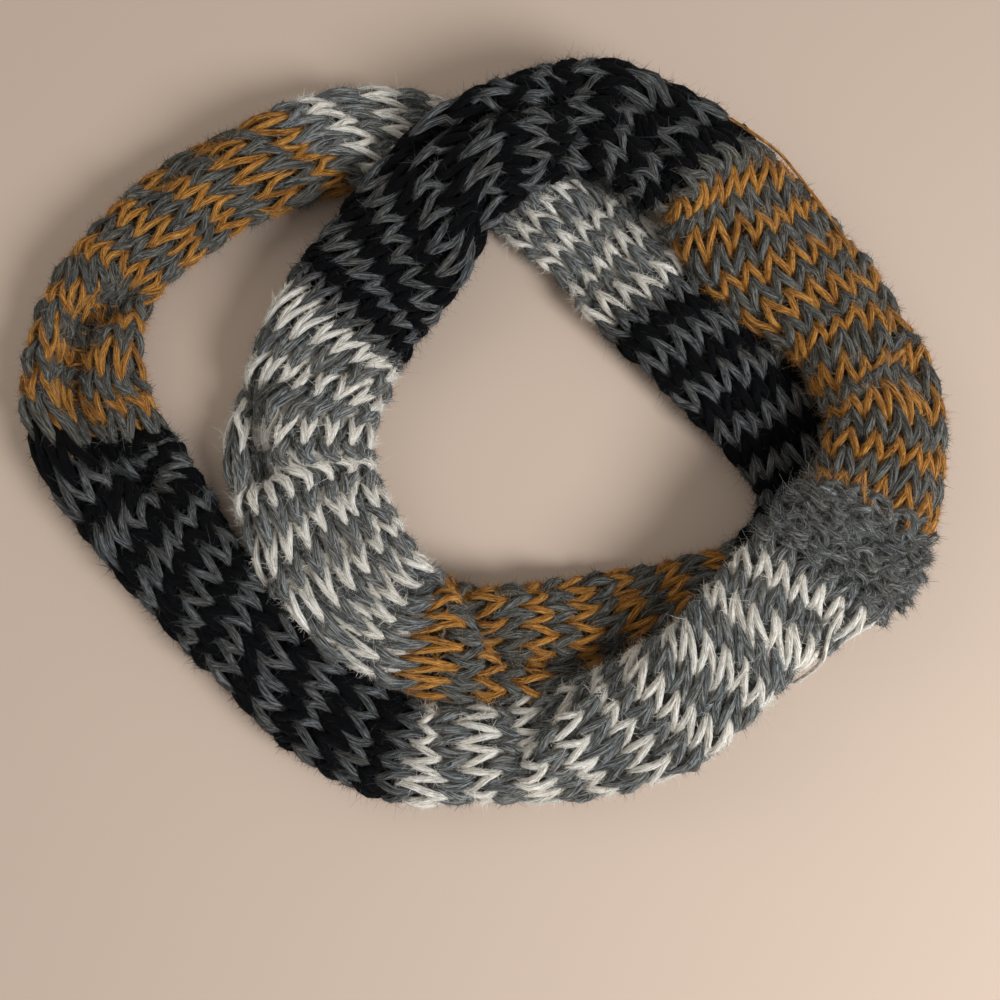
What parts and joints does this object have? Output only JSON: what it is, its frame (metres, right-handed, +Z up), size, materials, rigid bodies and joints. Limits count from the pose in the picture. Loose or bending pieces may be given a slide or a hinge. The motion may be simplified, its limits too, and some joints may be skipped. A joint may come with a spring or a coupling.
{
  "type": "neck gaiter",
  "caption": "Long chunky-knit tube sewn end to end into a loop neck gaiter, striped in mustard, black and white over grey, laid down flat in two laps",
  "frame": {"origin": "middle of the outline as laid, on the floor that the underside rests on", "axes": "+X to the right across the longer side of the laid loop, +Y away from a person standing in front of it, +Z up"},
  "size_m": [0.3664, 0.2946, 0.0466],
  "materials": {
    "mustard_stripes": "fuzzy chunky yarn, one mustard row and one grey row in turn",
    "black_stripes": "fuzzy chunky yarn, one black row and one grey row in turn",
    "white_stripes": "fuzzy chunky yarn, one off-white row and one grey row in turn",
    "grey_yarn": "fuzzy grey melange yarn in dense bumps",
    "white_yarn": "fuzzy off-white yarn",
    "mustard_yarn": "fuzzy mustard yarn"
  },
  "bodies": {
    "root": {"mustard_section_1": "mustard_stripes", "black_section_1": "black_stripes", "white_section_1": "white_stripes", "mustard_section_2": "mustard_stripes", "black_section_2": "black_stripes", "white_section_2": "white_stripes", "mustard_section_3": "mustard_stripes", "black_section_3": "black_stripes", "white_section_3": "white_stripes", "sewn_joint": "grey_yarn", "white_yarn_tail": "white_yarn", "mustard_loose_strand": "mustard_yarn"}
  },
  "joints": []
}
